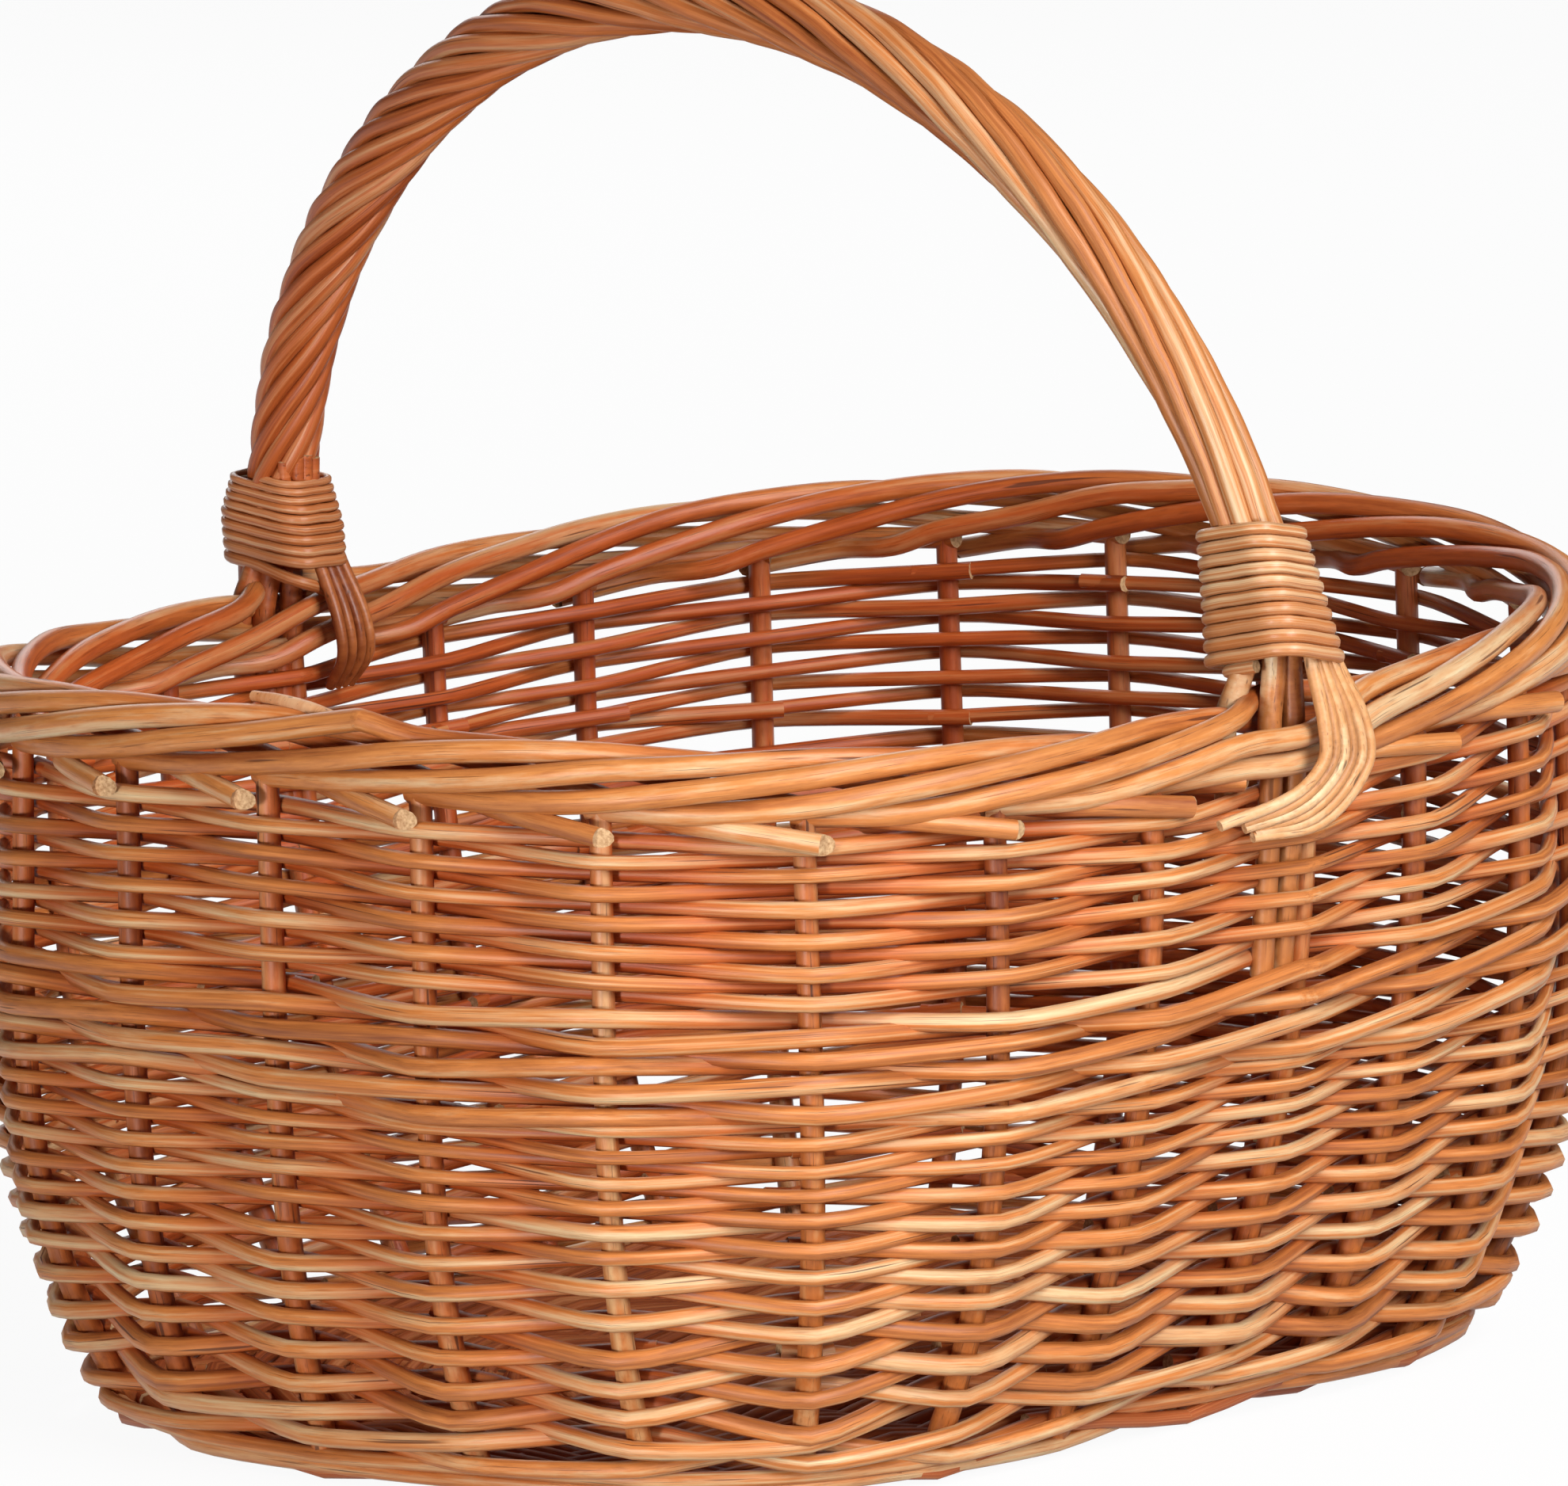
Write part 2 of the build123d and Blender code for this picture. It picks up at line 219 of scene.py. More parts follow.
# Rods are curves with short handles at the bends, thinning from one end to the other
def lay_rod(route, start_radius, end_radius, ease=0.33, steps=5, rounds=2):
    """a round rod through the bends of its route"""
    curve = bpy.data.curves.new("rod", "CURVE")
    curve.dimensions = "3D"
    curve.resolution_u = steps
    curve.bevel_depth = 1.0
    curve.bevel_resolution = rounds
    curve.use_fill_caps = True
    spline = curve.splines.new("BEZIER")
    spline.bezier_points.add(len(route) - 1)
    last = len(route) - 1
    for k, bend in enumerate(spline.bezier_points):
        before, place, after = route[max(k - 1, 0)], route[k], route[min(k + 1, last)]
        way = (after - before).normalized()
        bend.co = place
        bend.handle_left = place - way * ease * (place - before).length
        bend.handle_right = place + way * ease * (after - place).length
        bend.radius = start_radius + (end_radius - start_radius) * k / last
    rod = bpy.data.objects.new("rod", curve)
    rod["length"] = sum((b - a).length for a, b in zip(route, route[1:]))
    bpy.context.scene.collection.objects.link(rod)
    return rod


butt_depth = 5 * mm         # how far from its end the cut face of a rod may lie
butt_slope = 1.2


def slant_end(mesh, place, way, out):
    """cuts the end of a rod on a slant, so that its cut face shows outwards"""
    ends = set()
    for face in mesh.polygons:
        if len(face.vertices) == 3 and (face.center - place).length < butt_depth:
            ends.update(face.vertices)
    for k in ends:
        vertex = mesh.vertices[k]
        vertex.co -= way * butt_slope * (vertex.co - place).dot(out)


def bundle(name, rods, finish, nodes, tones=(0.28, 0.72), shelter=wall_painted_shade):
    """makes one mesh of a group of rods, each with its own tone and its own stretch of the grain"""
    bpy.ops.object.select_all(action="DESELECT")
    for rod in rods:
        rod.select_set(True)
    bpy.context.view_layer.objects.active = rods[0]
    bpy.ops.object.convert(target="MESH")
    for rod in rods:
        mesh = rod.data
        tone = rod.get("tone", random.uniform(*tones))
        values = mesh.attributes.new("tone", "FLOAT", "POINT")
        values.data.foreach_set("value", [tone] * len(mesh.vertices))
        # the painted shade of each vertex, from the function that is given
        values = mesh.attributes.new("shelter", "FLOAT", "POINT")
        values.data.foreach_set("value", [shelter(vertex.co) for vertex in mesh.vertices])
        grain_start = random.uniform(0, 20)
        for corner in mesh.uv_layers[0].data:
            corner.uv.y = corner.uv.y * rod["length"] + grain_start
        if "butt" in rod:
            slant_end(mesh, Vector(rod["butt"]), Vector(rod["butt_way"]), Vector(rod["butt_out"]))
        mesh.materials.append(finish)
        mesh.materials.append(cut_end)
        for face in mesh.polygons:
            face.material_index = 1 if len(face.vertices) == 3 else 0
    if len(rods) > 1:
        bpy.ops.object.join()
    piece = bpy.context.view_layer.objects.active
    piece.name = name
    piece.data.name = name
    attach(piece, "root")
    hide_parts(*nodes)
    return piece


# Shader maths as expressions
class Value:
    """a socket of a finish, whose operators add Math nodes"""

    def __init__(self, finish, socket):
        self.finish, self.socket = finish, socket

    def math(self, operation, a, b=0.0):
        return self.finish.add("ShaderNodeMath", {"operation": operation}, {0: a, 1: b})

    def __add__(self, other):
        return self.math("ADD", self, other)

    def __radd__(self, other):
        return self.math("ADD", other, self)

    def __sub__(self, other):
        return self.math("SUBTRACT", self, other)

    def __rsub__(self, other):
        return self.math("SUBTRACT", other, self)

    def __mul__(self, other):
        return self.math("MULTIPLY", self, other)

    def __rmul__(self, other):
        return self.math("MULTIPLY", other, self)

    def cos(self):
        return self.math("COSINE", self)

    def sin(self):
        return self.math("SINE", self)


class Finish:
    """a material and its nodes"""

    def __init__(self, name):
        self.material = bpy.data.materials.new(name)
        self.material.use_nodes = True
        self.tree = self.material.node_tree
        self.shader = self.tree.nodes["Principled BSDF"]

    def add(self, kind, settings, sockets, output=0):
        node = self.tree.nodes.new(kind)
        for key, setting in settings.items():
            if key == "stops":
                for stop in setting[1:-1]:
                    node.color_ramp.elements.new(stop[0])
                for element, stop in zip(node.color_ramp.elements, setting):
                    element.position, element.color = stop[0], (*stop[1], 1)
            else:
                setattr(node, key, setting)
        for key, value in sockets.items():
            self.put(node.inputs[key], value)
        return Value(self, node.outputs[output])

    def put(self, socket, value):
        if isinstance(value, Value):
            self.tree.links.new(value.socket, socket)
        else:
            socket.default_value = value

    def noise(self, place, scale, detail=3.0, roughness=0.55):
        return self.add("ShaderNodeTexNoise", {},
                        {"Vector": place, "Scale": scale, "Detail": detail, "Roughness": roughness})

    def smooth(self, value, low, high, start=0.0, end=1.0):
        return self.add("ShaderNodeMapRange", {"interpolation_type": "SMOOTHSTEP"},
                        {"Value": value, "From Min": low, "From Max": high, "To Min": start, "To Max": end})

    def mix(self, share, a, b, blend="MIX"):
        return self.add("ShaderNodeMix", {"data_type": "RGBA", "blend_type": blend, "clamp_factor": True},
                        {"Factor": share, 6: a, 7: b}, 2)

    def ramp(self, value, stops):
        return self.add("ShaderNodeValToRGB", {"stops": stops}, {"Fac": value})

    def seen_by_eye(self):
        """1 where the camera looks, straight or by way of a mirror or glass"""
        straight = self.add("ShaderNodeLightPath", {}, {}, "Is Camera Ray")
        mirrored = self.add("ShaderNodeLightPath", {}, {}, "Is Glossy Ray")
        through = self.add("ShaderNodeLightPath", {}, {}, "Is Transmission Ray")
        return straight.math("MAXIMUM", straight, mirrored.math("MAXIMUM", mirrored, through))


def rod_place(finish, stretch, girth):
    """coordinates that run along a rod and round it, with no seam"""
    uv = finish.add("ShaderNodeUVMap", {"uv_map": "UVMap"}, {})
    around = finish.add("ShaderNodeSeparateXYZ", {}, {"Vector": uv}, 0)
    along = finish.add("ShaderNodeSeparateXYZ", {}, {"Vector": uv}, 1)
    turn = around * tau
    return finish.add("ShaderNodeCombineXYZ", {},
                      {"X": along * stretch, "Y": turn.cos() * girth, "Z": turn.sin() * girth})


# the darker, redder tint that painted shade multiplies into the colour
painted_shade_tint = (0.80, 0.42, 0.26, 1)


def willow(name, dark, body, pale, gloss=0.42, sheen=0.45):
    """buff willow: streaked along the rod, mottled, flecked and knotted, with a satin skin, and painted
    shade from a vertex attribute
    """
    finish = Finish(name)
    tone = finish.add("ShaderNodeAttribute", {"attribute_name": "tone"}, {}, 2)
    mottle = finish.noise(rod_place(finish, 16.0, 0.35), 1.0, 4.0)
    streaks = finish.noise(rod_place(finish, 24.0, 3.2), 1.0, 5.0, 0.65)
    fine = finish.noise(rod_place(finish, 60.0, 7.0), 1.0, 3.0)
    flecks = finish.smooth(finish.noise(rod_place(finish, 230.0, 2.2), 1.0, 2.0), 0.62, 0.70)
    knots = finish.smooth(finish.noise(rod_place(finish, 34.0, 1.3), 1.0, 1.0), 0.70, 0.76)
    level = tone * 0.6 + mottle * 1.1 + streaks * 0.55 - 0.63
    colour = finish.ramp(level, [(0.05, dark), (0.5, body), (0.86, pale)])
    deep = tuple(c * 0.3 for c in dark)
    # Painted shade: where the vertex attribute is high, the colour is multiplied towards the darker, redder
    # tint
    shelter = finish.add("ShaderNodeAttribute", {"attribute_name": "shelter"}, {}, 2)
    colour = finish.mix(shelter, colour, finish.mix(1.0, colour, painted_shade_tint, "MULTIPLY"))
    colour = finish.mix(finish.smooth(fine, 0.52, 0.75, 0.0, 0.3), colour, (*dark, 1))
    colour = finish.mix(flecks * 0.6, colour, (*deep, 1))
    colour = finish.mix(knots * 0.75, colour, (*deep, 1))
    finish.put(finish.shader.inputs["Base Color"], colour)
    finish.put(finish.shader.inputs["Roughness"], gloss + 0.2 * streaks - 0.08 * tone + 0.15 * knots)
    finish.put(finish.shader.inputs["Specular IOR Level"], sheen)
    height = streaks * 0.5 + fine * 0.3 - knots * 0.6 - flecks * 0.25
    bump = finish.add("ShaderNodeBump", {}, {"Strength": 0.35, "Distance": 0.0006, "Height": height})
    finish.put(finish.shader.inputs["Normal"], bump)
    return finish.material


def cut_face(name):
    """the cream cut end of a rod"""
    finish = Finish(name)
    place = finish.add("ShaderNodeTexCoord", {}, {}, 3)
    grain = finish.noise(place, 900.0, 3.0)
    finish.put(finish.shader.inputs["Base Color"],
               finish.ramp(grain, [(0.3, (0.30, 0.14, 0.05)), (0.75, (0.68, 0.45, 0.24))]))
    finish.put(finish.shader.inputs["Roughness"], 0.75)
    return finish.material


cut_end = cut_face("cut_end")
weave_finish = willow(
    "weave_willow", (0.13, 0.018, 0.003), (0.58, 0.194, 0.045), (0.70, 0.53, 0.300))
stake_finish = willow(
    "stake_willow", (0.12, 0.017, 0.003), (0.53, 0.165, 0.036), (0.67, 0.44, 0.210))
border_finish = willow(
    "border_willow", (0.20, 0.034, 0.006), (0.59, 0.217, 0.056), (0.70, 0.56, 0.340), 0.36)
handle_finish = willow(
    "handle_willow", (0.18, 0.028, 0.005), (0.53, 0.196, 0.053), (0.68, 0.53, 0.320), 0.36)
binding_finish = willow(
    "binding_willow", (0.18, 0.032, 0.006), (0.50, 0.172, 0.047), (0.72, 0.52, 0.300), 0.30, 0.5)
split_finish = willow(
    "split_willow", (0.28, 0.10, 0.030), (0.60, 0.28, 0.105), (0.76, 0.53, 0.310), 0.42)
base_finish = willow(
    "base_willow", (0.15, 0.028, 0.006), (0.45, 0.135, 0.032), (0.68, 0.36, 0.150), 0.5)


# Stakes: from the base up the wall into the border, with more bends low down where the wall curls
stake_butt = 3.8 * mm
stake_tip = 3.2 * mm
stake_bends = (0.0, 0.05, 0.12, 0.22, 0.36, 0.55, 0.78, 0.97)


def stake(i):
    station = stake_station(i)
    out = rim_at(station)[1]
    route = [wall(station, 0) - out * spur_length]
    route += [wall(station, share) for share in stake_bends]
    return lay_rod(route, stake_butt, stake_tip, 0.3, 4)


for i in range(stake_count):
    bundle(f"stake_{i + 1}", [stake(i)], stake_finish, [f"stake_{i + 1:02d}"], (0.2, 0.7))


# Weaving: rods go round from behind one stake to behind a later one.
# A pattern says whether a row passes a stake outside, 1, or inside, -1.
def randing(i, row):
    return 1 if (i + row) % 2 else -1


def waling(i, row):
    return -1 if (i + row) % 3 == 0 else 1


def outside_all(i, row):
    return 1


def wander(station, height):
    """how far the rows drift up and down, alike for rows that lie near each other"""
    turn = station * tau / stake_count
    drift = math.sin(5 * turn + 95 * height) + 0.7 * math.sin(8 * turn - 140 * height + 1.0)
    return (0.75 * drift + random.uniform(-0.4, 0.4)) * mm


def weave_rod(first, count, row, pattern, height_at, butt, tip, slant=0.0, dip=0.0):
    """one rod past so many stakes, standing off each by its own thickness"""
    route = []
    for k in range(count + 1):
        i = first + k
        side = pattern(i, row)
        radius = butt + (tip - butt) * k / count
        stops = [stake_station(i)]
        if pattern is outside_all and k in (0, count):
            side = -1
        height = height_at(i) - side * dip
        if i % stake_count in joints and height > legs_from:
            stops.insert(0, i)
        if slant and side > 0:
            height += slant * (-0.5 if pattern(i - 1, row) < 0 else 0.5)
        height += wander(i, height)
        for station in stops:
            share = share_of(height)
            stand = 0.3 if pattern is outside_all else 1.0
            off = side * (stake_radius * stand + radius * 0.92 + random.uniform(0.0, 0.5) * mm)
            route.append(wall(station, share) + facing(station, share) * off)
    lead = (route[0] - route[1]).normalized()
    trail = (route[-1] - route[-2]).normalized()
    route[0] = route[0] + lead * random.uniform(4, 10) * mm
    route[-1] = route[-1] + trail * random.uniform(4, 10) * mm
    return lay_rod(route, butt, tip, 0.2, 5)


def weave_round(row, pattern, height_at, butt, tip, slant=0.0, dip=0.0):
    """three rods that make one round, joined behind stakes"""
    first = (7 * row) % stake_count
    while pattern(first, row) > 0 and pattern is not outside_all:
        first += 1
    rods = []
    spans = (9, 9, 6) if pattern is waling else (8, 8, 8)
    for count in spans:
        thick = random.uniform(0.94, 1.06)
        rods.append(weave_rod(first, count, row, pattern, height_at, butt * thick, tip * thick, slant, dip))
        first += count
    return rods


def level(height):
    return lambda i: height


upper_height = 189.5 * mm
upper_pitch = 4.72 * mm
upper_crowding = 0.5 * mm


def packed_under_border(row):
    """upper rows lie closer together on the camera's side than on the far side"""
    def height(i):
        near = rim_at(i)[1].dot(towards_camera)
        return upper_height - row * (upper_pitch - upper_crowding * near)
    return height


upsett_rows = 3
upsett_height = 13.2 * mm
upsett_pitch = 4.2 * mm
upsett_slant = 2 * mm
upsett_rods = []
for row in range(upsett_rows):
    row_level = level(upsett_height + upsett_pitch * row)
    upsett_rods += weave_round(row, waling, row_level, 2.7 * mm, 2.4 * mm, upsett_slant)
bundle("upsett_wale_rods", upsett_rods, weave_finish, ["upsett_wale"])

# the lower rows get closer and thinner towards the wale
lower_rows = 22
lower_height = 26.3 * mm
lower_pitch = 4.71 * mm
lower_closing = 1.4 * mm
lower_rods = []
for row in range(lower_rows):
    pitch = lower_pitch - lower_closing * row / (lower_rows - 1)
    butt = pitch * (0.65 - 0.07 * row / lower_rows)
    dip = 1.2 * mm * max(1 - row / 14, 0)
    lower_rods += weave_round(row, randing, level(lower_height), butt, pitch * 0.54, 0.0, dip)
    lower_height += pitch
bundle("lower_randing_rods", lower_rods, weave_finish, ["lower_randing"])

wale_rows = 7
wale_height = 113 * mm
wale_pitch = 4.5 * mm
wale_slant = 3.2 * mm
wale_rods = []
for row in range(wale_rows):
    row_level = level(wale_height + wale_pitch * row)
    wale_rods += weave_round(row, waling, row_level, 2.9 * mm, 2.5 * mm, wale_slant)
bundle("mid_wale_rods", wale_rods, weave_finish, ["mid_wale"])

upper_rows = 9
upper_rods = []
for row in range(upper_rows):
    upper_rods += weave_round(row, randing, packed_under_border(row), 2.5 * mm, 2.1 * mm)
# two more rows go only part of the way round, on the camera's side
for row, first, count in ((9, 13, 16), (10, 15, 12)):
    first += (1 + randing(first, row)) // 2
    upper_rods.append(weave_rod(first, count, row, randing, packed_under_border(row), 2.4 * mm, 2.0 * mm))
bundle("upper_randing_rods", upper_rods, weave_finish, ["upper_randing"])

foot_rows = 2
foot_height = 6.2 * mm
foot_pitch = 3.4 * mm
foot_rods = []
for row in range(foot_rows):
    foot_rods += weave_round(row, outside_all, level(foot_height + foot_pitch * row), 2.4 * mm, 2.2 * mm)
bundle("foot_rods", foot_rods, weave_finish, ["foot_rod"])

# Border: each rod winds once round the rim over six spaces, and its butt pokes out below.
# Beside the handle's legs the rods keep to one side, by their place in spaces from their start.
beside_leg = {near_joint: {1: (7.6, -7.0), 2: (8.8, 0.2), 3: (-9.0, 8.6), 4: (-10.5, 1.6), 5: (-7.6, -5.2)},
              far_joint: {1: (7.0, -4.2), 2: (8.0, 3.2), 3: (9.0, 10.8), 4: (-8.6, 5.2), 5: (-8.2, -2.6)}}
# One rod is kinked where it comes over the top, given by its stake and its place in spaces from there.
kinked = (16, 2.5)
kink_height = 4.6 * mm


def border_place(station, out, height):
    centre, outward = rim_centre(station)
    return centre + outward * out + up * height


def border_rod(i):
    """a rod from beside its stake, once round the rim, and out below"""
    turn_radius = border_turn_radius * random.uniform(0.95, 1.05)
    lead = 0.03 if i in joints else 0.06
    route = [border_place(stake_station(i) - lead, -0.12 * turn_radius, -turn_radius)]
    for half in range(2 * border_spaces - 1):
        u = half / 2
        turn = u * tau / border_spaces - tau / 4
        out, height = turn_radius * math.cos(turn), turn_radius * math.sin(turn)
        station = i + u if half else stake_station(i)
        if half and (i + u) % stake_count in joints:
            out, height = (size * mm for size in beside_leg[(i + u) % stake_count][int(u)])
        sink = 1.8 * mm * max(u - 4, 0)
        bump = random.uniform(-0.5, 0.5) * mm
        if (i, u) == kinked:
            route.append(border_place(station + 0.17, out, height + kink_height))
            station, bump = station + 0.21, kink_height
        route.append(border_place(station, out - 0.4 * sink, height - sink + bump))
    last = i + border_spaces
    route.append(border_place(last - 0.72, -0.6 * turn_radius, -1.2 * turn_radius))
    route.append(border_place(last - 0.42, 0.45 * turn_radius, -1.3 * turn_radius))
    if last % stake_count not in joints:
        poke = random.uniform(-0.06, 0.06)
        route.append(border_place(last + 0.03 + poke, 1.36 * turn_radius, -1.72 * turn_radius))
    rod = lay_rod(route, random.uniform(3.2, 3.6) * mm, random.uniform(2.8, 3.1) * mm, 0.33, 6, 4)
    rod["butt"] = route[-1]
    rod["butt_way"] = (route[-1] - route[-2]).normalized()
    rod["butt_out"] = rim_at(last)[1]
    return rod


# beside the kinked rod, a rod is cut on a long slant
slant_cut = [border_place(17.86, -3.5 * mm, 12.6 * mm), border_place(18.05, -3.0 * mm, 12.2 * mm),
             border_place(18.26, -2.5 * mm, 10.8 * mm), border_place(18.46, -2.5 * mm, 8.0 * mm)]
quarter = stake_count // 4
for q in range(4):
    rods = [border_rod(i) for i in range(q * quarter, (q + 1) * quarter)]
    bundle(f"border_rods_{q + 1}", rods, border_finish, [f"border_quarter_{q + 1}"],
           (0.3, 0.7), border_painted_shade)
slant_cut_rod = lay_rod(slant_cut, 1.5 * mm, 2.6 * mm, 0.33, 4, 3)
bundle("border_slant_cut", [slant_cut_rod], split_finish, ["border_quarter_4"],
       (0.7, 0.8), handle_painted_shade)

# Handle: strands roped round a bow
joint_height = rim_centre(near_joint)[0].z
strand_count = 9
strand_turns = 3.2
handle_low = 0.045          # share of the arch that the strands start and end at, inside the bindings


def arch(share):
    """middle line of the handle, from the far joint over to the near one"""
    turn = math.pi * share
    half_width = rim_half_width + arch_spread
    y = math.copysign(half_width * abs(math.cos(turn)) ** (2 / arch_power), math.cos(turn))
    rise = abs(math.sin(turn)) ** (2 / arch_power)
    return Vector((-handle_lean * rise, y, joint_height + (handle_height - joint_height) * rise))


def handle_frame(share):
    along = (arch(min(share + 0.01, 1)) - arch(max(share - 0.01, 0))).normalized()
    side = Vector((1, 0, 0))
    side = (side - along * side.dot(along)).normalized()
    return along.cross(side), side


def handle_reach(share):
    """half the thickness of the roped handle"""
    return (9.8 - 0.6 * share + 1.3 * math.sin(math.pi * share)) * mm


def strand_radius_at(share):
    return (2.5 + 0.2 * share) * mm


def strand(k):
    """a strand that winds round the bow, more slowly towards the near joint"""
    route = []
    steps = 64
    for step in range(steps + 1):
        share = handle_low + (1 - 2 * handle_low) * step / steps
        out, side = handle_frame(share)
        turn = tau * (k + random.uniform(0, 0.06)) / strand_count
        turn -= tau * strand_turns * (1 - (1 - share) ** 2)
        ring = handle_reach(share) - strand_radius_at(share) + random.uniform(-0.2, 0.2) * mm
        route.append(arch(share) + out * ring * math.cos(turn) + side * ring * math.sin(turn))
    thick = random.uniform(0.94, 1.08)
    return lay_rod(route, strand_radius_at(0) * thick, strand_radius_at(1) * thick, 0.33, 4, 4)


strand_groups = ((0, 6), (1, 7), (2, 8), (3,), (4,), (5,))
for k, group in enumerate(strand_groups):
    strands = [strand(member) for member in group]
    bundle(f"handle_strand_rods_{k + 1}", strands, handle_finish,
           [f"handle_strand_{k + 1}"], (0.32, 0.85), handle_painted_shade)


def handle_leg(joint, along, out, depth=leg_depth):
    """a thick end of the bow that goes down through the border into the weave"""
    route = [at_joint(joint, along * share, out * share, height * mm)
             for share, height in ((0.4, 44), (0.55, 28), (0.75, 15), (1.0, 4), (1.0, -12))]
    low = share_of(rim_height * depth)
    route.append(wall(joint + along / spacing, low) + rim_at(joint)[1] * min(out, 0))
    return lay_rod(route, 3.5 * mm, 3.3 * mm, 0.3, 5, 3)


bow_steps = 40
bow_route = [arch(handle_low + (1 - 2 * handle_low) * step / bow_steps) for step in range(bow_steps + 1)]
legs = [lay_rod(bow_route, 4.6 * mm, 4.8 * mm, 0.33, 3, 3)]
for along, out, depth in ((-7.5, 0, leg_depth), (0.5, 1.5, leg_depth), (-17, -8, short_leg_depth)):
    legs.append(handle_leg(near_joint, along * mm, out * mm, depth))
for along, out in ((10, 3), (2, 0), (14, 8)):
    legs.append(handle_leg(far_joint, along * mm, out * mm))
# strand ends cut off short above the far binding
for along, out, height in ((12.5, -9.0, 48), (9.5, -11.6, 49), (7.0, -12.6, 49.5), (4.2, -12.8, 48.5)):
    ends = [at_joint(far_joint, along * share * mm, out * share * mm, low * mm)
            for share, low in ((0.75, 24), (0.9, 37), (1.0, height))]
    legs.append(lay_rod(ends, 2.1 * mm, 1.9 * mm, 0.33, 3, 3))
# pegs that fill the far binding
for along, out in ((7.5, 10.5), (1.0, 11.0), (4.5, 5.0), (-2.5, 5.5)):
    peg = [at_joint(far_joint, along * mm, out * mm, height * mm) for height in (8, 26, 42)]
    legs.append(lay_rod(peg, 3.5 * mm, 3.3 * mm))
bundle("handle_bow_rods", legs, handle_finish, ["handle_bow"], (0.3, 0.7), handle_painted_shade)


# Bindings: a rod wound round the foot of the handle, over a bundle with a corner towards the camera.
# Levels are height, place along and out of the rim, and half sizes along and out, from below.
near_levels = ((19, -5.5, 0.5, 12.8, 16.0), (38, -7.0, -2.0, 11.2, 14.0), (57, -8.5, -5.0, 9.8, 12.0))
far_levels = ((17, 2.0, 1.5, 10.2, 16.0), (30, 3.5, 1.0, 10.4, 16.2), (43, 5.2, -0.8, 9.4, 12.4))
# The tilt is how much the turns rise towards the right of the picture, the lean towards the camera.
near_tilt = 0.05
near_lean = 0.3
far_tilt = -0.06
far_lean = -0.07
corner_power = 5.0          # how square the turns are


def level_sizes(levels, share):
    """the sizes at a share of the way up, between the levels"""
    place = share * (len(levels) - 1)
    k = min(int(place), len(levels) - 2)
    return [(a + (b - a) * (place - k)) * mm for a, b in zip(levels[k], levels[k + 1])]


def binding(joint, turns, levels, tilt, lean, crowding, drop, low_radius, high_radius):
    """a rod wound upwards, closer towards the top, after half a turn that comes up by the drop"""
    route = []
    per_turn = 20
    for step in range(-per_turn // 2, turns * per_turn + 1):
        turn = tau * step / per_turn
        share = max(step, 0) / (turns * per_turn)
        climb = crowding * share * (1 - share) + share
        height, along, out, half_along, half_out = level_sizes(levels, climb)
        c, s = math.cos(turn), math.sin(turn)
        before = max(-2 * step / per_turn, 0)
        reach = (1 - 0.4 * before) / (abs(c) ** corner_power + abs(s) ** corner_power) ** (1 / corner_power)
        place = at_joint(joint, along + half_along * reach * c, out + half_out * reach * s, height)
        across = place - at_joint(joint, along, out, height)
        tilted = tilt * picture_right.dot(across) + lean * towards_camera.dot(across)
        route.append(place + up * (tilted - drop * before + random.uniform(-0.12, 0.12) * mm))
    return lay_rod(route, low_radius, high_radius, 0.33, 2, 3)


near_turns = 10
far_turns = 9
bindings = [binding(near_joint, near_turns, near_levels, near_tilt, near_lean, 0.04,
                    1.0 * mm, 1.95 * mm, 1.75 * mm),
            binding(far_joint, far_turns, far_levels, far_tilt, far_lean, 0.25,
                    11.0 * mm, 1.85 * mm, 1.1 * mm)]


def tail(joint, places, radius, tone):
    """an end that hangs down over the border, by places along, out of and above the rim"""
    route = [at_joint(joint, *(size * mm for size in place)) for place in places]
    rod = lay_rod(route, radius, radius * 0.75, 0.33, 6, 3)
    rod["tone"] = tone
    return rod


near_tails = 6
split_tails = []
for k in range(near_tails):
    fan = k - (near_tails - 1) / 2
    places = [(0 + fan * 0.9, 9, 32), (1 + fan * 1.7, 13 + fan * 0.3, 19), (4 + fan * 3.3, 17, 3),
              (3 + fan * 3.7, 18, -8 - fan * 0.6), (-11 + fan * 2.4, 16, -19 - fan * 1.8),
              (-30 + 2.2 * fan + random.uniform(-5, 5), 9, -23 - fan)]
    split_tails.append(tail(near_joint, places, random.uniform(1.75, 2.2) * mm, random.uniform(0.35, 0.75)))
far_tails = 4
for k in range(far_tails):
    fan = k - (far_tails - 1) / 2
    places = [(-1 - fan * 2.6, -9, 28), (-2 - fan * 3.0, -12.5, 17), (-3 - fan * 3.7, -19, 2),
              (-4 - fan * 3.7, -19.5, -9), (-6 - fan * 2.8, -11, -19)]
    bindings.append(tail(far_joint, places, 2.0 * mm, random.uniform(0.1, 0.25)))
bundle("split_tail_rods", split_tails, split_finish, ["handle_bindings"],
       shelter=handle_painted_shade)
bundle("handle_binding_rods", bindings, binding_finish, ["handle_bindings"],
       (0.4, 0.75), binding_painted_shade)

# Base: sticks from a middle line out to the edge, with rods woven over and under them
spine_half = 75 * mm         # half the middle line that the short sticks start from
spine_reach = 105 * mm
spine_step = 6.5 * mm
base_rings = 34
base_edge = 1 * mm
ring_rise = 3.1 * mm        # how far the rings pass over and under the middle of a stick


def base_place(station, inset):
    """a place on the base from its edge at inset 0 to its middle line at inset 1"""
    edge = wall(station, 0) + rim_at(station)[1] * base_edge
    middle = Vector((max(-spine_half, min(spine_half, edge.x)), 0, edge.z))
    return edge.lerp(middle, inset)


def base_ring(k):
    inset = 0.945 * k / (base_rings - 1) - 0.015
    route = []
    for i in range(stake_count + 2):
        side = 1 if (i + k) % 2 else -1
        route.append(base_place(i, inset) + up * side * ring_rise)
    return lay_rod(route, 2.3 * mm, 2.2 * mm, 0.2, 3)


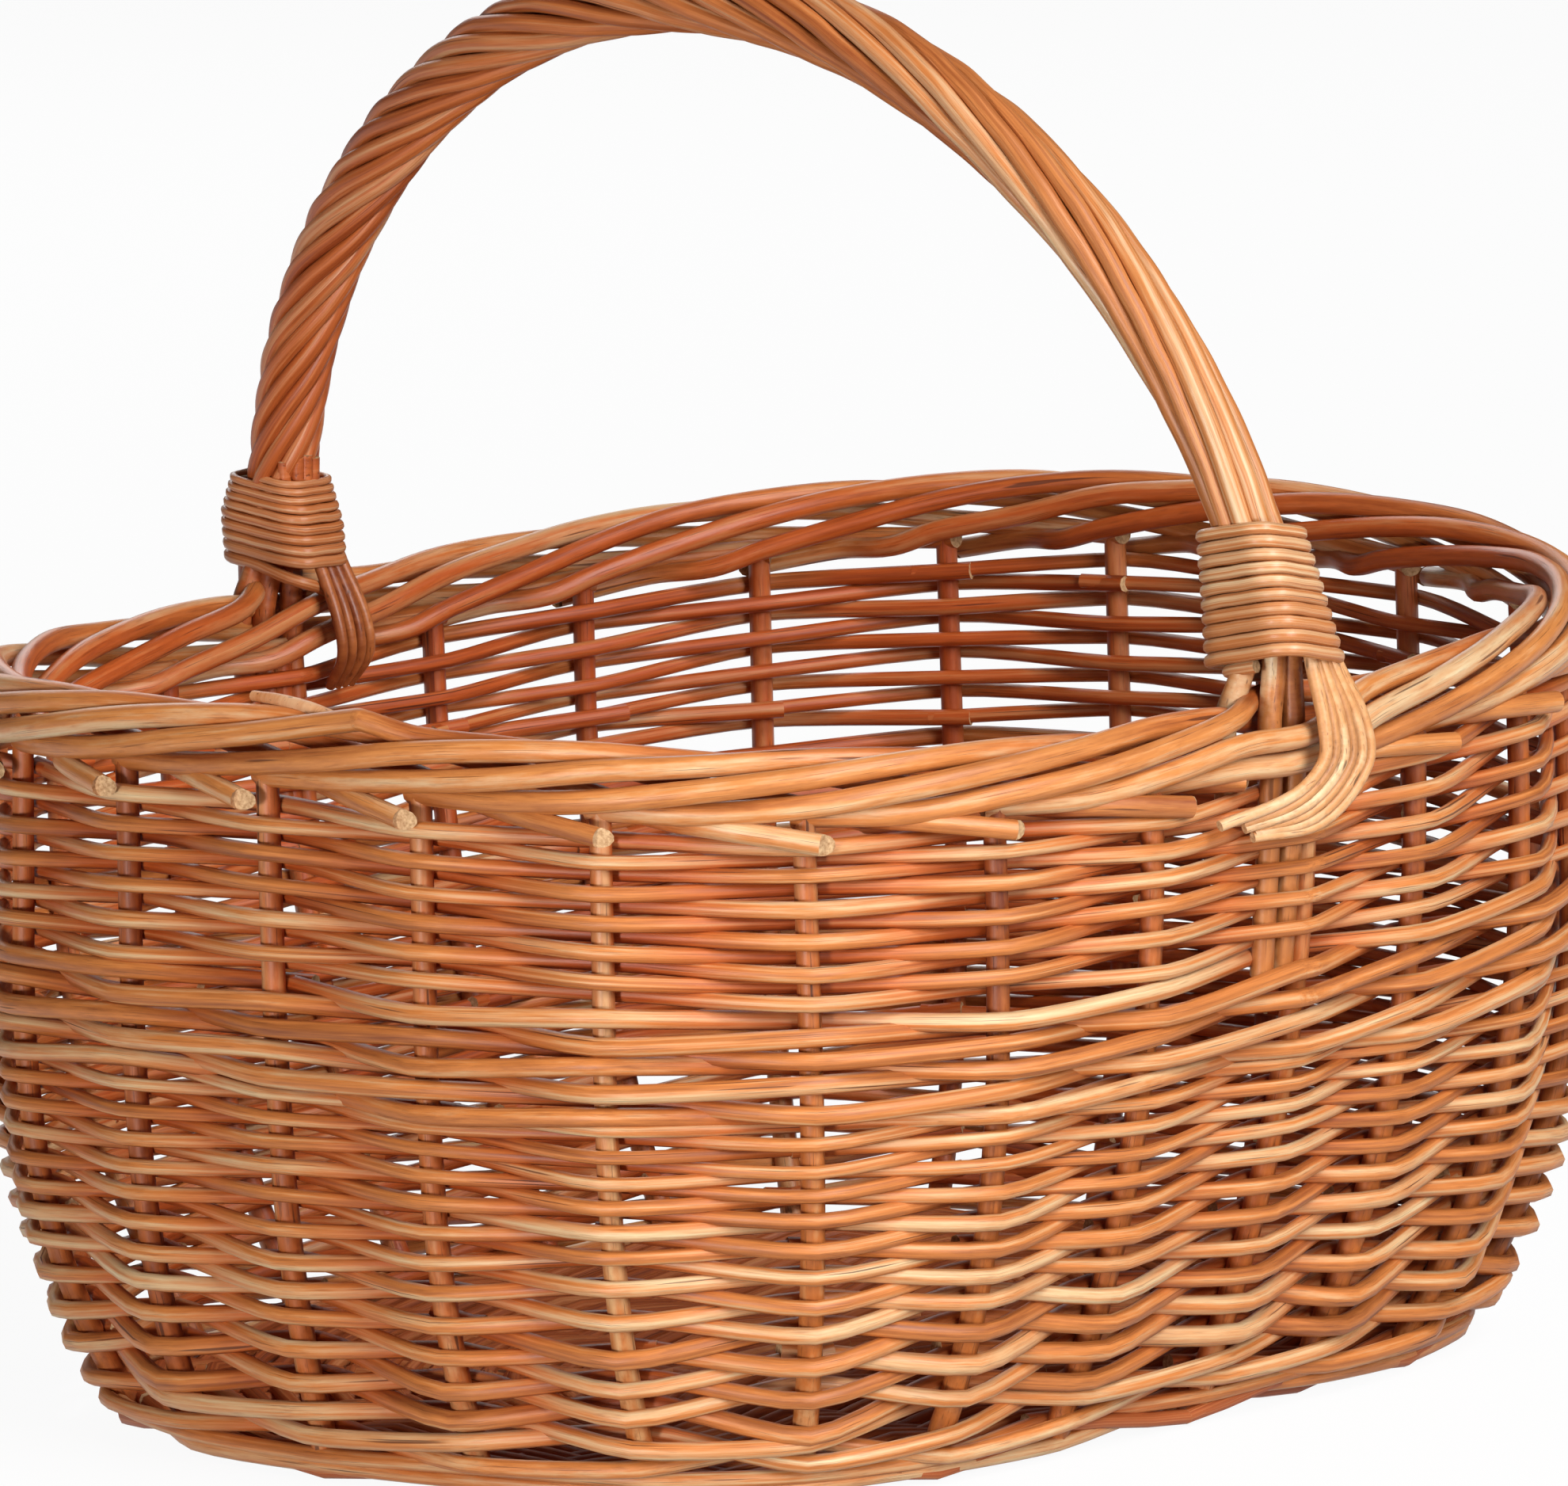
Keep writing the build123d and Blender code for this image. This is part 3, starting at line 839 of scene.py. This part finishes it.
rings = [base_ring(k) for k in range(base_rings)]
bundle("base_weave_rods", rings, base_finish, ["base_weave"], shelter=base_painted_shade)
sticks = []
for i in range(stake_count):
    stick = [base_place(i, inset) for inset in (0.02, 0.5, 1.0)]
    sticks.append(lay_rod(stick, 2.6 * mm, 3.2 * mm, 0.33, 3))
bundle("base_short_stick_rods", sticks, base_finish, ["base_short_sticks"],
       shelter=base_painted_shade)
spines = []
for y in (-spine_step, 0, spine_step):
    spine = [Vector((x, y, foot)) for x in (-spine_reach, 0, spine_reach)]
    spines.append(lay_rod(spine, 3.2 * mm, 3.2 * mm))
bundle("base_long_stick_rods", spines, base_finish, ["base_long_sticks"],
       shelter=base_painted_shade)

# Stage: pale floor, soft lamps, camera
bpy.ops.object.select_all(action="DESELECT")
bpy.ops.mesh.primitive_plane_add(size=60, location=(0, 0, 0))
floor = bpy.context.object
floor.name = "floor"
floor_finish = Finish("pale_floor")
floor_grey = (0.3, 0.3, 0.3, 1)     # towards the basket
floor_pale = (0.9, 0.9, 0.9, 1)     # towards the eye
floor_glow = 0.94                   # the rest of it shows the shadow
seen = floor_finish.seen_by_eye()
floor_tint = floor_finish.mix(seen, floor_grey, floor_pale)
floor_finish.put(floor_finish.shader.inputs["Base Color"], floor_tint)
floor_finish.put(floor_finish.shader.inputs["Roughness"], 0.9)
white = floor_finish.add("ShaderNodeEmission", {}, {"Color": (1, 1, 1, 1), "Strength": 1.0})
lit_floor = Value(floor_finish, floor_finish.shader.outputs[0])
shown = floor_finish.add("ShaderNodeMixShader", {}, {0: seen * floor_glow, 1: lit_floor, 2: white})
floor_finish.put(floor_finish.tree.nodes["Material Output"].inputs["Surface"], shown)
floor.data.materials.append(floor_finish.material)

world = bpy.data.worlds.new("studio")
bpy.context.scene.world = world
world.use_nodes = True
world.node_tree.nodes["Background"].inputs["Color"].default_value = (1, 1, 1, 1)
world.node_tree.nodes["Background"].inputs["Strength"].default_value = 0.08


basket_middle = Vector((0, 0, 200 * mm))


def lamp(name, place, size, power):
    """a soft square lamp that looks at the middle of the basket"""
    bpy.ops.object.light_add(type="AREA", location=place)
    light = bpy.context.object
    light.name = name
    light.data.size = size
    light.data.energy = power
    aim = basket_middle - Vector(place)
    light.rotation_mode = "QUATERNION"
    light.rotation_quaternion = aim.to_track_quat("-Z", "Y")


lamp("key", (-0.65, -2.5, 1.15), 1.1, 62)
lamp("top", (0.0, -1.8, 2.2), 0.9, 41)
lamp("fill", (-2.5, -0.7, 0.14), 0.4, 44)
lamp("back", (1.8, 2.4, 1.6), 1.5, 24)

back = towards_camera * math.cos(camera_elevation) + up * math.sin(camera_elevation)
over = back.cross(picture_right)
target = picture_right * camera_target_side + up * camera_target_height
rolled_right = picture_right * math.cos(camera_roll) + over * math.sin(camera_roll)
rolled_over = over * math.cos(camera_roll) - picture_right * math.sin(camera_roll)
bpy.ops.object.camera_add(location=target + back * camera_distance)
camera = bpy.context.object
camera.data.sensor_width = 36
camera.data.lens = camera_lens
camera.rotation_euler = Matrix((rolled_right, rolled_over, back)).transposed().to_euler()
bpy.context.scene.camera = camera
bpy.context.scene.view_settings.view_transform = "Standard"
